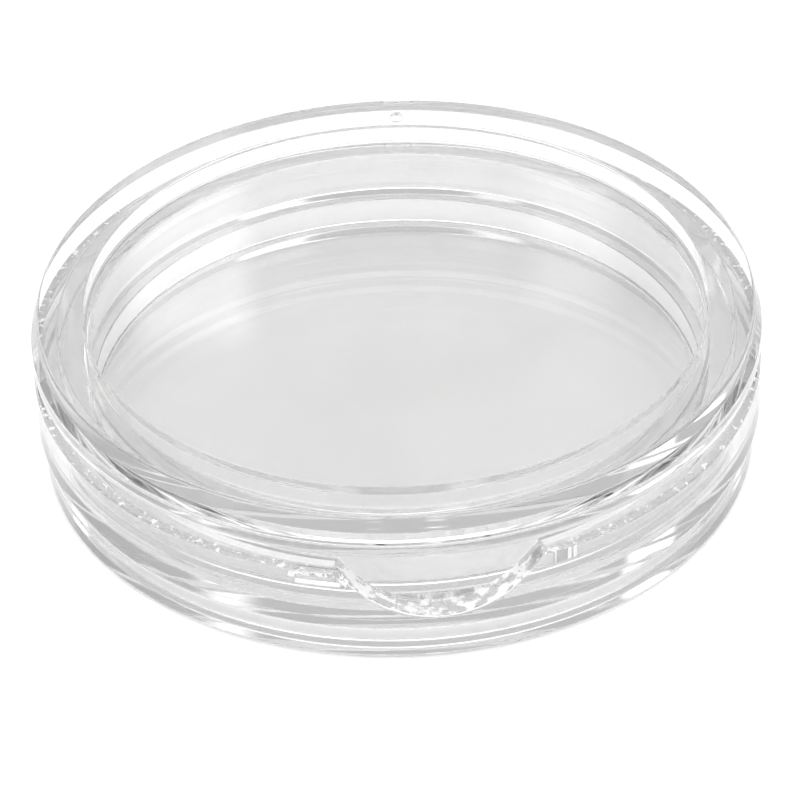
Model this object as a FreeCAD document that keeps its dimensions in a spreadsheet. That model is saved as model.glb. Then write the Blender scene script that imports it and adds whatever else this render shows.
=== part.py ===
"""A clear two-piece capsule for one 25 mm coin: a base and the lid that slides into it.

Millimetres, +Z up. The origin is the middle of the face that the capsule stands on. Both shells are
turned about Z, and the base's fingernail notch faces -Y.
"""
import FreeCAD, Part
import math
import os

import Sketcher

os.makedirs("parts", exist_ok=True)

DIMENSIONS = {
    # radii from the capsule's axis
    "outer_radius": 15.0,
    "rim_radius": 14.73,
    "wall_radius": 13.95,
    "seat_radius": 12.55,
    "window_radius": 12.8,
    "running_gap": 0.05,
    # heights of the base, from its foot up
    "foot_recess": 0.5,
    "floor_height": 1.4,
    "step_low": 1.95,
    "step_high": 2.1,
    "ledge_height": 2.5,
    "wall_height": 4.35,
    # heights of the lid, from its skirt up
    "ceiling_height": 4.75,
    "flange_height": 5.2,
    "shoulder_low": 5.93,
    "shoulder_high": 6.2,
    "window_height": 6.05,
    "full_height": 7.0,
    "edge_round": 0.12,
    # fingernail notch: a circle that cuts down into the base's wall
    "notch_radius": 4.8,
    "notch_floor": 2.25,
    # sheared gates that the shells were filled through
    "gate_width": 1.9,
    "gate_low": 3.7,
    "gate_high": 4.55,
    "gate_depth": 0.16,
    "gate_angle": -108.7,
    "nick_width": 1.3,
    "nick_drop": 0.35,
    "nick_depth": 0.18,
    "nick_angle": 83.0,
    # ejector pin's shallow print on the lid's rim
    "print_radius": 0.32,
    "print_reach": 13.3,
    "print_depth": 0.08,
}

doc = FreeCAD.newDocument("coin_capsule")
sheet = doc.addObject("Spreadsheet::Sheet", "Sizes")
for row, (alias, value) in enumerate(DIMENSIONS.items(), start=1):
    sheet.set(f"A{row}", alias)
    sheet.set(f"B{row}", str(value))
    sheet.setAlias(f"B{row}", alias)
doc.recompute()


def size(alias):
    """The number in the sheet's cell of that name."""
    return float(getattr(sheet, alias))


def named(expression):
    """An expression of cell names as one that FreeCAD can bind, with its present value."""
    words = expression.split()
    bound = " ".join(f"Sizes.{word}" if word in DIMENSIONS else word for word in words)
    value = sum(
        size(word) * (-1 if index and words[index - 1] == "-" else 1)
        for index, word in enumerate(words)
        if word in DIMENSIONS
    )
    return bound, value


def new_body(label):
    """An empty body whose label names its file."""
    body = doc.addObject("PartDesign::Body", label)
    body.Label = label
    return body


def origin_feature(body, role):
    """One of the body's own origin planes or axes."""
    return next(item for item in body.Origin.OriginFeatures if item.Role == role)


def new_sketch(body, name, plane):
    """A sketch lying on one of the body's origin planes."""
    sketch = body.newObject("Sketcher::SketchObject", name)
    sketch.AttachmentSupport = [(origin_feature(body, plane), "")]
    sketch.MapMode = "FlatFace"
    return sketch


def bind(sketch, constraint, expression, name):
    """Adds a dimension that follows the sheet."""
    index = sketch.addConstraint(constraint)
    sketch.renameConstraint(index, name)
    sketch.setExpression(f"Constraints.{name}", named(expression)[0])


def turned(body, name, outline):
    """Turns a closed outline of (radius, height) corners about Z. A side is dimensioned by its ends."""
    sketch = new_sketch(body, f"{name}_outline", "XZ_Plane")
    corners = [
        FreeCAD.Vector(named(radius)[1], named(height)[1], 0) for radius, height in outline
    ]
    count = len(corners)
    for index, corner in enumerate(corners):
        sketch.addGeometry(Part.LineSegment(corner, corners[(index + 1) % count]), False)
    for index in range(count):
        sketch.addConstraint(Sketcher.Constraint("Coincident", index, 2, (index + 1) % count, 1))
    for index, (radius, height) in enumerate(outline):
        reach = corners[index].x
        rise = corners[index].y
        if reach:
            across = Sketcher.Constraint("DistanceX", -1, 1, index, 1, reach)
            bind(sketch, across, radius, f"radius_{index}")
        else:
            sketch.addConstraint(Sketcher.Constraint("PointOnObject", index, 1, -2))
        if rise:
            upward = Sketcher.Constraint("DistanceY", -1, 1, index, 1, rise)
            bind(sketch, upward, height, f"height_{index}")
        else:
            sketch.addConstraint(Sketcher.Constraint("PointOnObject", index, 1, -1))
    turn = body.newObject("PartDesign::Revolution", name)
    turn.Profile = sketch
    turn.ReferenceAxis = (sketch, ["V_Axis"])
    turn.Angle = 360
    doc.recompute()
    return turn


def rounded(body, name, base, circles):
    """Rounds the whole-circle edges of base that lie at the given (radius, height) pairs."""
    wanted = [(named(radius)[1], named(height)[1]) for radius, height in circles]
    names = []
    for index, edge in enumerate(base.Shape.Edges, start=1):
        if not isinstance(edge.Curve, Part.Circle):
            continue
        here = (edge.Curve.Radius, edge.Curve.Center.z)
        if any(math.dist(here, there) < 1e-6 for there in wanted):
            names.append(f"Edge{index}")
    fillet = body.newObject("PartDesign::Fillet", name)
    fillet.Base = (base, names)
    fillet.setExpression("Radius", "Sizes.edge_round")
    doc.recompute()
    return fillet


def placed_cutter(body, kind, name, angle, reach, height):
    """A cutting primitive in the body, standing at an angle about Z, a reach out and a height up."""
    cutter = body.newObject(kind, name)
    cutter.AttachmentSupport = [(origin_feature(body, "XY_Plane"), "")]
    cutter.MapMode = "FlatFace"
    turn = FreeCAD.Rotation(FreeCAD.Vector(0, 0, 1), size(angle))
    start = turn.multVec(FreeCAD.Vector(reach[0], reach[1], height))
    cutter.AttachmentOffset = FreeCAD.Placement(start, turn)
    return cutter


def cut_gate(body, name, surface, low, high):
    """A shallow box cut into an outer face between two heights. Its angle, width and depth are the
    cells that start with its name."""
    angle, width, depth = (f"{name}_{measure}" for measure in ("angle", "width", "depth"))
    reach = (size(surface) - size(depth), -size(width) / 2)
    low_bound, low_value = named(low)
    box = placed_cutter(body, "PartDesign::SubtractiveBox", name, angle, reach, low_value)
    box.setExpression("Length", f"2 * Sizes.{depth}")
    box.setExpression("Width", f"Sizes.{width}")
    box.setExpression("Height", f"({named(high)[0]}) - ({low_bound})")
    doc.recompute()


def make_base():
    """Lower shell: outer wall first, then the notch through it, then the floor that fills it."""
    body = new_body("base")
    wall = turned(
        body,
        "outer_wall",
        [
            ("wall_radius", "0"),
            ("rim_radius", "0"),
            ("rim_radius", "step_low"),
            ("outer_radius", "step_high"),
            ("outer_radius", "wall_height"),
            ("wall_radius", "wall_height"),
        ],
    )
    rounded(body, "wall_rounds", wall, [("rim_radius", "0"), ("outer_radius", "wall_height")])

    notch_sketch = new_sketch(body, "notch_circle", "XZ_Plane")
    centre_height = size("notch_floor") + size("notch_radius")
    centre = FreeCAD.Vector(0, centre_height, 0)
    up = FreeCAD.Vector(0, 0, 1)
    notch_sketch.addGeometry(Part.Circle(centre, up, size("notch_radius")), False)
    notch_sketch.addConstraint(Sketcher.Constraint("PointOnObject", 0, 3, -2))
    radius = Sketcher.Constraint("Radius", 0, size("notch_radius"))
    bind(notch_sketch, radius, "notch_radius", "radius")
    rise = Sketcher.Constraint("DistanceY", -1, 1, 0, 3, centre_height)
    bind(notch_sketch, rise, "notch_floor + notch_radius", "centre_height")
    solid_before = body.Shape.Volume
    notch = body.newObject("PartDesign::Pocket", "fingernail_notch")
    notch.Profile = notch_sketch
    notch.setExpression("Length", "Sizes.outer_radius + 1")
    notch.Reversed = True
    doc.recompute()
    cut_on_front = notch.Shape.Volume < solid_before and notch.Shape.CenterOfGravity.y > 0
    if not cut_on_front:
        raise RuntimeError("the fingernail notch isn't cut on the -Y side")

    turned(
        body,
        "floor_and_ledge",
        [
            ("0", "foot_recess"),
            ("window_radius", "foot_recess"),
            ("window_radius", "0"),
            ("wall_radius", "0"),
            ("wall_radius", "ledge_height"),
            ("seat_radius", "ledge_height"),
            ("seat_radius", "floor_height"),
            ("0", "floor_height"),
        ],
    )
    cut_gate(body, "gate", "outer_radius", "gate_low", "gate_high")
    return body


def make_lid():
    """Upper shell: window, stacking rim, flange and skirt, all one moulding."""
    body = new_body("lid")
    shell = turned(
        body,
        "shell",
        [
            ("0", "ceiling_height"),
            ("window_radius", "ceiling_height"),
            ("window_radius", "ledge_height"),
            ("wall_radius - running_gap", "ledge_height"),
            ("wall_radius - running_gap", "flange_height"),
            ("outer_radius", "flange_height"),
            ("outer_radius", "shoulder_low"),
            ("rim_radius", "shoulder_high"),
            ("rim_radius", "full_height"),
            ("window_radius", "full_height"),
            ("window_radius", "window_height"),
            ("0", "window_height"),
        ],
    )
    rounded(
        body,
        "rim_rounds",
        shell,
        [
            ("rim_radius", "full_height"),
            ("window_radius", "full_height"),
            ("outer_radius", "flange_height"),
        ],
    )
    cut_gate(body, "nick", "rim_radius", "full_height - nick_drop", "full_height + nick_drop")

    reach = (size("print_reach"), 0)
    height = size("full_height") - size("print_depth")
    pin_print = placed_cutter(
        body, "PartDesign::SubtractiveCylinder", "ejector_print", "nick_angle", reach, height
    )
    pin_print.setExpression("Radius", "Sizes.print_radius")
    pin_print.setExpression("Height", "2 * Sizes.print_depth")
    doc.recompute()
    return body


shells = [make_base(), make_lid()]
doc.recompute()

for item in doc.Objects:
    if {"Invalid", "Error"} & set(item.State):
        raise RuntimeError(f"{item.Name} didn't compute: {item.State}")

for shell in shells:
    shell.Placement = FreeCAD.Placement()
    shape = shell.Shape
    if shape.isNull() or not shape.isValid() or len(shape.Solids) != 1:
        raise RuntimeError(f"{shell.Label} isn't one valid solid")
    shape.exportStep(f"parts/{shell.Label}.step")
    box = shape.BoundBox
    print(
        f"{shell.Label}: {shape.Volume:.1f} mm3, "
        f"x {box.XMin:.3f}..{box.XMax:.3f}, y {box.YMin:.3f}..{box.YMax:.3f}, "
        f"z {box.ZMin:.3f}..{box.ZMax:.3f}"
    )
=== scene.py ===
"""Looks of a clear two-piece coin capsule. Lengths are in metres, or in millimetres times MM."""
import math

import bpy
import numpy as np
from mathutils import Matrix, Vector


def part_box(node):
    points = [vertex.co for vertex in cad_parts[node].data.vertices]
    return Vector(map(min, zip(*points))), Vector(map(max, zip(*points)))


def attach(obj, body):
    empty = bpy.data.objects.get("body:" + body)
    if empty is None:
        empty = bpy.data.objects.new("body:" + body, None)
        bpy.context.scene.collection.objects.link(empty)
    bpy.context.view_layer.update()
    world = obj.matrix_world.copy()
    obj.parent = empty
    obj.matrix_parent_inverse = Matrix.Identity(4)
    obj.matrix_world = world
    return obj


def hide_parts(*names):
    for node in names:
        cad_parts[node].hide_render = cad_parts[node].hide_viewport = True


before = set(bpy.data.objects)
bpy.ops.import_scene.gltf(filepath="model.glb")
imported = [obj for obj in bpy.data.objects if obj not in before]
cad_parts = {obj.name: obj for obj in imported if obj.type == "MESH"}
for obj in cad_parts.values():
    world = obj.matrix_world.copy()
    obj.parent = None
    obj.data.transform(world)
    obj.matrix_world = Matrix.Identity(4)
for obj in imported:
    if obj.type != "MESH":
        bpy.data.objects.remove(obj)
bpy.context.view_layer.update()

MM = 0.001

# The capsule's measures, in millimetres, as the CAD model has them.
BASE_LOW, BASE_HIGH = (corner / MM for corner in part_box("base"))
LID_LOW, LID_HIGH = (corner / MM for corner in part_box("lid"))
OUTER = LID_HIGH.x
RIM = OUTER - 0.27
WINDOW = OUTER - 2.2
SEAT = OUTER - 2.45
WALL = OUTER - 1.05
SKIRT = WALL - 0.05
FULL = LID_HIGH.z
WALL_TOP = BASE_HIGH.z
LEDGE = LID_LOW.z
SKIRT_END = LEDGE + 0.04  # a film of air, as between any two dry mouldings that touch
FLOOR = 1.4
FOOT_RECESS = 0.5
DRAFT = 0.04  # how far the lid's skirt leans on each side; straight, it shows dark arcs of trapped light
STEP = (1.95, 2.1)
CEILING = FULL - 2.25
FLANGE = FULL - 1.8
SHOULDER = (FULL - 1.07, FULL - 0.8)
WINDOW_TOP = FULL - 0.95

# The marks on the two mouldings: angles in degrees about Z, other measures in millimetres.
NOTCH_ANGLE = -90
NOTCH_RADIUS = 4.8
NOTCH_FLOOR = 2.25
NOTCH_HALF_ANGLE = 16.5
GATE_ANGLE = -108.7
GATE_HALF_WIDTH = 0.95
GATE_LOW = 3.7
GATE_DEPTH = 0.08
GATE_EDGE = 0.16
STUB_HEIGHT = 4.12  # of the broken-off gate that stands in its scar
STUB_HALF_WIDTH = 0.75
STUB_HALF_HEIGHT = 0.12
STUB_DEPTH = 0.05
BAR_HALF_WIDTH = 0.95  # of the torn bar along the gate's top
BAR_HEIGHT = 4.14
BAR_HALF_HEIGHT = 0.07
TORN_SPOTS = ((-0.98, 4.08, 0.16), (0.95, 4.0, 0.2), (0.98, 3.72, 0.09))  # place along, height, radius
SCORED_ANGLES = (17, 21)  # from the notch's middle
SCORED_LOW = 3.75
NICK_ANGLE = 83
NICK_HALF_WIDTH = 0.65
NICK_DROP = 0.35
NICK_DEPTH = 0.18
NICK_EDGE = 0.1
PRINT_REACH = 13.3  # from the axis to the ejector pin's print
PRINT_RADII = (0.24, 0.34)
PRINT_DEPTH = 0.08

# The plastic and its material slots on the base.
INDEX = 1.49
ABSORPTION = 22  # per metre; more than real clear plastic has, to reach the photo's greys
DEPTH_GREY = (0.55, 0.55, 0.55, 1)
CLEAR_SLOT, GRAIN_SLOT, MILLED_SLOT, SCORED_SLOT, TORN_SLOT = range(5)
FINE_STEP = 0.12  # degrees between the mesh's columns beside a mark


# The studio's light: its walls, what the ceiling adds, and what the wall behind the capsule adds. Then two
# narrow windows in that wall and two broad ones beside them, each with its low and high bearing, its
# bottom and top height, its edge and its added light.
WALL_LIGHT = 0.5
CEILING_LIGHT = 2.05
BACK_WALL_LIGHT = 0.3
WINDOWS = (
    (1.4, 3.3, 15, 35.7, 0.35, 1.5),
    (7.9, 9.2, 15, 35.4, 0.4, 0.8),
    (-38, -27, 5, 60, 1.5, 1.6),
    (27, 34, 5, 60, 3, 1.0),
)


def smooth_step(value, low, high):
    """0 below low, 1 above high and a smooth rise between."""
    share = np.clip((value - low) / (high - low), 0, 1)
    return share * share * (3 - 2 * share)


def box_bump(across, half_width, edge):
    """1 inside a band of that half width, falling to 0 over the edge's width."""
    return 1 - smooth_step(np.abs(across), half_width - edge, half_width)


def rounded_outline(corners, steps=10, support=0.02):
    """Rounds a profile's corners. A corner is (radius, height, round, rings): rings are extra points on
    the straight run that follows it. Each round gets a support point close by on either side, so that
    smooth shading stays within it."""
    points = []
    for index, (radius, height, bend, rings) in enumerate(corners):
        here = np.array((radius, height))
        if bend == 0:
            leave = here
            points.append(here)
        else:
            before = np.array(corners[index - 1][:2]) - here
            after = np.array(corners[index + 1][:2]) - here
            before = before / np.linalg.norm(before)
            after = after / np.linalg.norm(after)
            half = math.acos(np.clip(before @ after, -1, 1)) / 2
            reach = bend / math.tan(half)
            middle = before + after
            centre = here + middle / np.linalg.norm(middle) * bend / math.sin(half)
            start = here + before * reach - centre
            end = here + after * reach - centre
            sweep = math.pi - 2 * half
            turn = np.sign(start[0] * end[1] - start[1] * end[0])
            points.append(here + before * (reach + support))
            for step in range(steps + 1):
                angle = turn * sweep * step / steps
                swing = np.array(
                    (
                        start[0] * math.cos(angle) - start[1] * math.sin(angle),
                        start[0] * math.sin(angle) + start[1] * math.cos(angle),
                    )
                )
                points.append(centre + swing)
            leave = here + after * (reach + support)
            points.append(leave)
        if rings:
            onward = corners[index + 1]
            target = np.array(onward[:2])
            back = leave - target
            margin = onward[2] + 2 * support
            target = target + back / np.linalg.norm(back) * margin
            for ring in range(1, rings + 1):
                points.append(leave + (target - leave) * ring / (rings + 1))
    return np.array(points)


def angles_with(*fine):
    """Angles round the axis in degrees, every half degree and finer in each (middle, half width, step)."""
    spread = [np.arange(-180, 180, 0.5)]
    for middle, half_width, step in fine:
        spread.append(np.arange(middle - half_width, middle + half_width, step))
    turned = (np.concatenate(spread) + 180) % 360 - 180
    return np.unique(np.round(turned, 4))


def lathed(name, outline, angles, shape, slot_of):
    """Turns an outline about Z into a closed mesh. shape moves its points, and slot_of gives the material
    index of each face from its middle's angle, radius and height."""
    turn = np.radians(angles)[:, None]
    radius = np.broadcast_to(outline[1:-1, 0], (len(angles), len(outline) - 2)).copy()
    height = np.broadcast_to(outline[1:-1, 1], radius.shape).copy()
    radius, height = shape(np.degrees(turn), radius, height)
    grid = np.stack((radius * np.cos(turn), radius * np.sin(turn), height), axis=-1)
    rows, rings = radius.shape
    vertices = np.concatenate((grid.reshape(-1, 3), [(0, 0, outline[0, 1]), (0, 0, outline[-1, 1])]))
    first_pole, last_pole = rows * rings, rows * rings + 1
    here = np.arange(rows)[:, None] * rings + np.arange(rings - 1)[None, :]
    there = (np.arange(rows)[:, None] + 1) % rows * rings + np.arange(rings - 1)[None, :]
    quads = np.stack((here, there, there + 1, here + 1), axis=-1).reshape(-1, 4)
    row = np.arange(rows) * rings
    following = (np.arange(rows) + 1) % rows * rings
    faces = [tuple(int(i) for i in quad) for quad in quads]
    faces += [(first_pole, int(b), int(a)) for a, b in zip(row, following)]
    faces += [(last_pole, int(a) + rings - 1, int(b) + rings - 1) for a, b in zip(row, following)]
    mesh = bpy.data.meshes.new(name)
    mesh.from_pydata([tuple(v) for v in vertices * MM], [], faces)
    middles = np.array([p.center for p in mesh.polygons]) / MM
    slots = slot_of(
        np.degrees(np.arctan2(middles[:, 1], middles[:, 0])),
        np.hypot(middles[:, 0], middles[:, 1]),
        middles[:, 2],
    )
    mesh.polygons.foreach_set("material_index", slots.astype(np.int32))
    mesh.polygons.foreach_set("use_smooth", np.ones(len(mesh.polygons), bool))
    mesh.update()
    piece = bpy.data.objects.new(name, mesh)
    bpy.context.scene.collection.objects.link(piece)
    return piece


def base_shape(angle, radius, height):
    """Cuts the fingernail notch and the sheared gate into the base's wall."""
    across = radius * np.sin(np.radians(angle - NOTCH_ANGLE))
    inside = np.clip(NOTCH_RADIUS**2 - across**2, 0, None)
    circle = NOTCH_FLOOR + NOTCH_RADIUS - np.sqrt(inside)
    facing = np.abs((angle - NOTCH_ANGLE + 180) % 360 - 180) < 60
    drop = np.where(facing, np.clip(WALL_TOP - circle, 0, None), 0)  # how deep the notch is here
    on_top = (radius > WALL - 0.1) & (height > WALL_TOP - 0.2)
    run = (radius > WALL - 0.01) & (height > STEP[1] + 0.05) & ~on_top
    share = (height - STEP[1]) / (WALL_TOP - 0.15 - STEP[1])
    outer_run = run & (radius > OUTER - 0.02)
    lowered = np.where(on_top, height - drop, height)
    lowered = np.where(outer_run, height - drop * share, lowered)
    lip = on_top & (radius < WALL + 0.03)  # the ledge stands over the notch's floor at its deepest
    lowered = np.where(lip, np.maximum(lowered, LEDGE + 0.08), lowered)
    sideways = radius * np.radians(angle - GATE_ANGLE)
    scar = box_bump(sideways, GATE_HALF_WIDTH, GATE_EDGE)
    scar = scar * smooth_step(lowered, GATE_LOW, GATE_LOW + GATE_EDGE)
    stub = box_bump(sideways, STUB_HALF_WIDTH, 0.3)
    stub = stub * box_bump(lowered - STUB_HEIGHT, STUB_HALF_HEIGHT, 0.1)
    on_wall = radius > OUTER - 0.2
    cut = np.where(on_wall, GATE_DEPTH * scar - STUB_DEPTH * stub * scar, 0)
    return radius - cut, lowered


def lid_shape(angle, radius, height):
    """Cuts the gate's nick and the ejector pin's print into the lid's rim."""
    sideways = radius * np.radians(angle - NICK_ANGLE)
    bottom = FULL - NICK_DROP
    nick = box_bump(sideways, NICK_HALF_WIDTH, NICK_EDGE) * smooth_step(height, bottom, bottom + NICK_EDGE)
    on_edge = radius > RIM - 0.12
    cut = np.where(on_edge, NICK_DEPTH * nick, 0)
    from_print = np.hypot(sideways, radius - PRINT_REACH)
    dimple = PRINT_DEPTH * (1 - smooth_step(from_print, *PRINT_RADII))
    sunk = np.where(height > FULL - 0.02, dimple, 0)
    return radius - cut, height - sunk


def make_base():
    """The base's shell, with its notch and gate."""
    outline = rounded_outline(
        [
            (0, FOOT_RECESS, 0, 0),
            (WINDOW, FOOT_RECESS, 0.12, 0),
            (WINDOW, 0, 0.12, 0),
            (RIM, 0, 0.15, 0),
            (RIM, STEP[0], 0.06, 0),
            (OUTER, STEP[1], 0.06, 44),
            (OUTER, WALL_TOP, 0.1, 12),
            (WALL, WALL_TOP, 0.05, 0),
            (WALL, LEDGE, 0.05, 0),
            (SEAT, LEDGE, 0.08, 0),
            (SEAT, FLOOR, 0.12, 0),
            (0, FLOOR, 0, 0),
        ]
    )
    angles = angles_with((NOTCH_ANGLE, 24, FINE_STEP), (GATE_ANGLE, 5, FINE_STEP))

    def slots(angle, radius, height):
        from_notch = angle - NOTCH_ANGLE
        in_wall = (radius > WALL + 0.02) & (radius < OUTER - 0.02)
        top = (radius > WALL + 0.7) & (radius < OUTER - 0.02) & (height > WALL_TOP - 0.04)
        milled = (np.abs(from_notch) < NOTCH_HALF_ANGLE) & in_wall & (height > NOTCH_FLOOR - 0.05) & ~top
        beside = (from_notch > SCORED_ANGLES[0]) & (from_notch < SCORED_ANGLES[1])
        scored = beside & (radius > OUTER - 0.1) & (height > SCORED_LOW) & (height < WALL_TOP - 0.05)
        along = (angle - GATE_ANGLE) * math.radians(radius.mean())
        torn = (np.abs(along) < BAR_HALF_WIDTH) & (np.abs(height - BAR_HEIGHT) < BAR_HALF_HEIGHT)
        for across, level, size in TORN_SPOTS:
            torn = torn | (np.hypot(along - across, height - level) < size)
        torn = torn & (radius > OUTER - 0.2)
        marks = [torn, milled, scored, top]
        return np.select(marks, [TORN_SLOT, MILLED_SLOT, SCORED_SLOT, GRAIN_SLOT], CLEAR_SLOT)

    return lathed("base_shell", outline, angles, base_shape, slots)


def make_lid():
    """The lid's shell, with its nick and its ejector pin's print."""
    outline = rounded_outline(
        [
            (0, CEILING, 0, 0),
            (WINDOW, CEILING, 0.12, 0),
            (WINDOW + DRAFT, SKIRT_END, 0.1, 0),
            (SKIRT - DRAFT, SKIRT_END, 0.1, 0),
            (SKIRT, FLANGE, 0.06, 0),
            (OUTER, FLANGE, 0.08, 0),
            (OUTER, SHOULDER[0], 0.05, 0),
            (RIM, SHOULDER[1], 0.05, 6),
            (RIM, FULL, 0.12, 20),
            (WINDOW, FULL, 0.08, 0),
            (WINDOW, WINDOW_TOP, 0.1, 0),
            (0, WINDOW_TOP, 0, 0),
        ]
    )
    angles = angles_with((NICK_ANGLE, 4, FINE_STEP))

    def slots(angle, radius, height):
        return np.full(angle.shape, CLEAR_SLOT)

    return lathed("lid_shell", outline, angles, lid_shape, slots)


class Nodes:
    """Shorthand for building a material's node tree."""

    def __init__(self, name):
        self.material = bpy.data.materials.new(name)
        self.material.use_nodes = True
        self.tree = self.material.node_tree
        self.shader = self.tree.nodes["Principled BSDF"]
        self.coordinates = self.add("ShaderNodeTexCoord").outputs["Object"]

    def add(self, kind, **values):
        """A node with sockets set from values or linked from other nodes' outputs."""
        node = self.tree.nodes.new(kind)
        for key, value in values.items():
            if key[0].islower():
                setattr(node, key, value)
            else:
                self.feed(node, key.replace("_", " "), value)
        return node

    def feed(self, node, socket, value):
        """Links an output to a socket, or sets the socket's own value."""
        if isinstance(value, bpy.types.NodeSocket):
            self.tree.links.new(value, node.inputs[socket])
        else:
            node.inputs[socket].default_value = value

    def noise(self, scale, detail=2, rough=0.5):
        """Noise in the piece's own coordinates, scale in features per metre."""
        return self.add(
            "ShaderNodeTexNoise", Vector=self.coordinates, Scale=scale, Detail=detail, Roughness=rough
        ).outputs["Fac"]

    def spread(self, value, low, high, to_low, to_high):
        """Maps a value's range to another."""
        return self.add(
            "ShaderNodeMapRange",
            Value=value,
            From_Min=low,
            From_Max=high,
            To_Min=to_low,
            To_Max=to_high,
        ).outputs["Result"]

    def greys(self, value, low, high, dark, light):
        """Greys that follow a value's range."""
        level = self.spread(value, low, high, dark, light)
        return self.add("ShaderNodeCombineColor", Red=level, Green=level, Blue=level).outputs["Color"]

    def absorb(self, density):
        """Light lost in the depth of the plastic, density per metre."""
        depth = self.add("ShaderNodeVolumeAbsorption", Color=DEPTH_GREY, Density=density)
        self.tree.links.new(depth.outputs["Volume"], self.tree.nodes["Material Output"].inputs["Volume"])

    def bump(self, height, strength, distance):
        """A bump normal from a height."""
        return self.add(
            "ShaderNodeBump", Height=height, Strength=strength, Distance=distance
        ).outputs["Normal"]


def clear_plastic(name, haze):
    """Polished moulding, greyer than the real plastic, whose tint and haze vary with a broad noise."""
    nodes = Nodes(name)
    shader = nodes.shader
    shader.inputs["IOR"].default_value = INDEX
    shader.inputs["Transmission Weight"].default_value = 1.0
    flow = nodes.noise(240, 1)
    nodes.feed(shader, "Base Color", nodes.greys(flow, 0.3, 0.7, 0.875, 0.9))
    nodes.feed(shader, "Roughness", nodes.spread(flow, 0.4, 0.7, 0, haze))
    nodes.absorb(ABSORPTION)
    return nodes.material


def scuffed_plastic(name, grain, upright, low, high):
    """The same plastic with scuffs that scatter white, where the noise is low. upright below 1 draws the
    scuffs out along Z, as a cutter's marks are."""
    nodes = Nodes(name)
    shader = nodes.shader
    shader.inputs["IOR"].default_value = INDEX
    nodes.coordinates = nodes.add(
        "ShaderNodeMapping", Vector=nodes.coordinates, Scale=(1, 1, upright)
    ).outputs["Vector"]
    speckle = nodes.noise(grain, 2, 0.6)
    nodes.feed(shader, "Transmission Weight", nodes.spread(speckle, low, high, 0, 1))
    nodes.feed(shader, "Base Color", nodes.greys(speckle, low, high, 0.97, 0.89))
    nodes.feed(shader, "Roughness", nodes.spread(speckle, low, 0.7, 0.3, 0.02))
    nodes.feed(shader, "Normal", nodes.bump(speckle, 1.0, 0.00001))
    nodes.absorb(ABSORPTION)
    return nodes.material


def matte_white(name):
    """Plain white paper."""
    nodes = Nodes(name)
    shader = nodes.shader
    shader.inputs["Base Color"].default_value = (0.95, 0.95, 0.95, 1)
    shader.inputs["Roughness"].default_value = 0.9
    return nodes.material


def make_floor():
    """A square of white paper, 0.02 mm under the capsule."""
    mesh = bpy.data.meshes.new("floor")
    half, low = 0.6, -0.02 * MM
    corners = [(-half, -half, low), (half, -half, low), (half, half, low), (-half, half, low)]
    mesh.from_pydata(corners, [], [(0, 1, 2, 3)])
    mesh.materials.append(matte_white("floor_paper"))
    floor = bpy.data.objects.new("floor", mesh)
    bpy.context.scene.collection.objects.link(floor)


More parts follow.
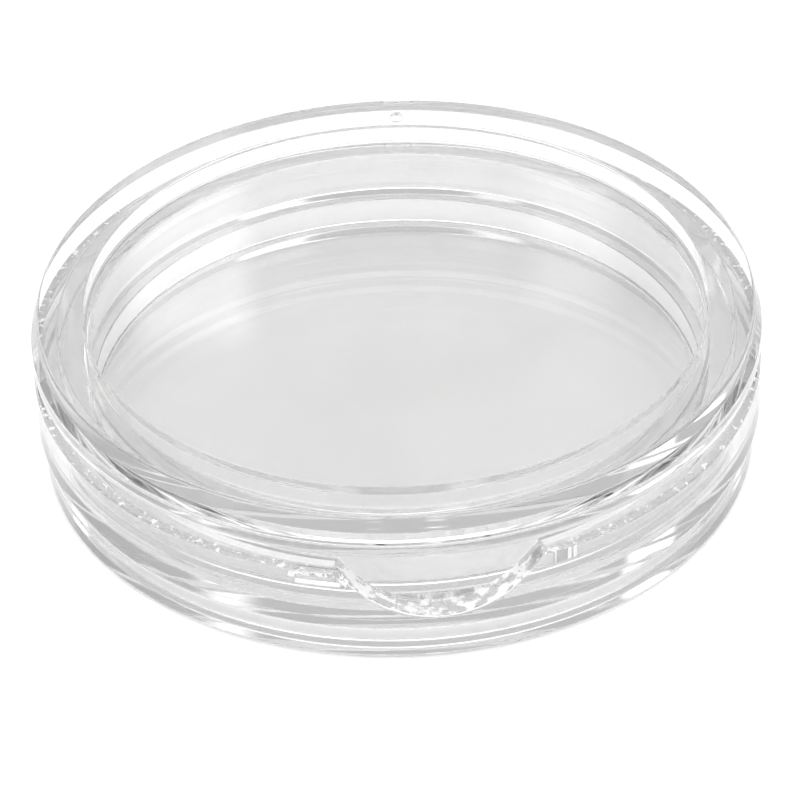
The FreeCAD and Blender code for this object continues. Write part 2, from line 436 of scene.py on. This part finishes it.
def make_world():
    """Studio walls and ceiling: soft light from above, and tall windows behind the capsule.
    Bearings are in degrees from +Y towards +X, and heights are degrees above the horizon."""
    world = bpy.data.worlds.new("studio")
    world.use_nodes = True
    tree = world.node_tree

    def add(kind, *inputs, **settings):
        node = tree.nodes.new(kind)
        for key, value in settings.items():
            setattr(node, key, value)
        for socket, value in zip(node.inputs, inputs):
            if isinstance(value, bpy.types.NodeSocket):
                tree.links.new(value, socket)
            else:
                socket.default_value = value
        return node.outputs[0]

    def maths(operation, *inputs):
        return add("ShaderNodeMath", *inputs, operation=operation)

    def rise(value, start, end):
        return add("ShaderNodeMapRange", value, start, end, 0, 1, interpolation_type="SMOOTHSTEP")

    def band(value, low, high, edge):
        return maths("MULTIPLY", rise(value, low - edge, low + edge), rise(value, high + edge, high - edge))

    direction = tree.nodes.new("ShaderNodeTexCoord").outputs["Generated"]
    split = tree.nodes.new("ShaderNodeSeparateXYZ")
    tree.links.new(direction, split.inputs[0])
    east, north, up = split.outputs
    bearing = maths("DEGREES", maths("ARCTAN2", east, north))
    height = maths("DEGREES", maths("ARCSINE", up))
    light = maths("ADD", WALL_LIGHT, maths("MULTIPLY", CEILING_LIGHT, rise(height, 40, 65)))
    back = maths("MULTIPLY", rise(north, 0.3, 0.8), BACK_WALL_LIGHT)
    light = maths("ADD", light, back)
    for low, high, bottom, top, edge, strength in WINDOWS:
        across = band(bearing, low, high, edge)
        upward = band(height, bottom, top, edge)
        patch = maths("MULTIPLY", maths("MULTIPLY", across, upward), strength)
        light = maths("ADD", light, patch)
    tree.links.new(light, tree.nodes["Background"].inputs["Strength"])
    tree.nodes["Background"].inputs["Color"].default_value = (1, 1, 1, 1)
    bpy.context.scene.world = world


def make_camera():
    """A long lens from the front, 35 degrees up, level with the top rim's middle in its upper half."""
    azimuth, elevation = math.radians(-5.7), math.radians(35.3)
    rim_radii_away = 12
    rim_centre = Vector((0, 0, FULL * MM))
    away = Vector(
        (
            math.sin(azimuth) * math.cos(elevation),
            -math.cos(azimuth) * math.cos(elevation),
            math.sin(elevation),
        )
    )
    data = bpy.data.cameras.new("camera")
    data.sensor_width = 36
    data.lens = 194.1
    data.clip_start = 0.01
    camera = bpy.data.objects.new("camera", data)
    camera.rotation_mode = "QUATERNION"
    camera.location = rim_centre + away * rim_radii_away * RIM * MM
    aim = away.to_track_quat("Z", "Y").to_matrix()
    roll = Matrix.Rotation(-0.032, 3, "Z")
    yaw = Matrix.Rotation(math.radians(-0.062), 3, "Y")
    pitch = Matrix.Rotation(math.radians(-1.404), 3, "X")
    camera.rotation_quaternion = (aim @ roll @ yaw @ pitch).to_quaternion()
    bpy.context.scene.collection.objects.link(camera)
    bpy.context.scene.camera = camera


BOUNCES = 64  # enough for light that runs round inside the walls
scene = bpy.context.scene
scene.view_settings.view_transform = "Standard"
scene.cycles.max_bounces = BOUNCES
scene.cycles.transmission_bounces = BOUNCES
scene.cycles.glossy_bounces = BOUNCES
scene.cycles.blur_glossy = 0  # clear plastic stays clear to the light that reaches the floor

base_clear = clear_plastic("base_plastic", 0.02)
lid_clear = clear_plastic("lid_plastic", 0.02)
grain = scuffed_plastic("unpolished_edge", 3000, 1, 0.36, 0.44)
notch_grain = scuffed_plastic("milled_notch", 1800, 0.25, 0.41, 0.52)
ticks = scuffed_plastic("scored_wall", 2800, 0.05, 0.45, 0.49)
torn = scuffed_plastic("torn_gate", 4000, 1, 0.5, 0.62)

base = make_base()
for material in (base_clear, grain, notch_grain, ticks, torn):
    base.data.materials.append(material)
lid = make_lid()
lid.data.materials.append(lid_clear)
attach(base, "base")
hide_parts("base")
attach(lid, "lid")
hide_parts("lid")

make_floor()
make_world()
make_camera()
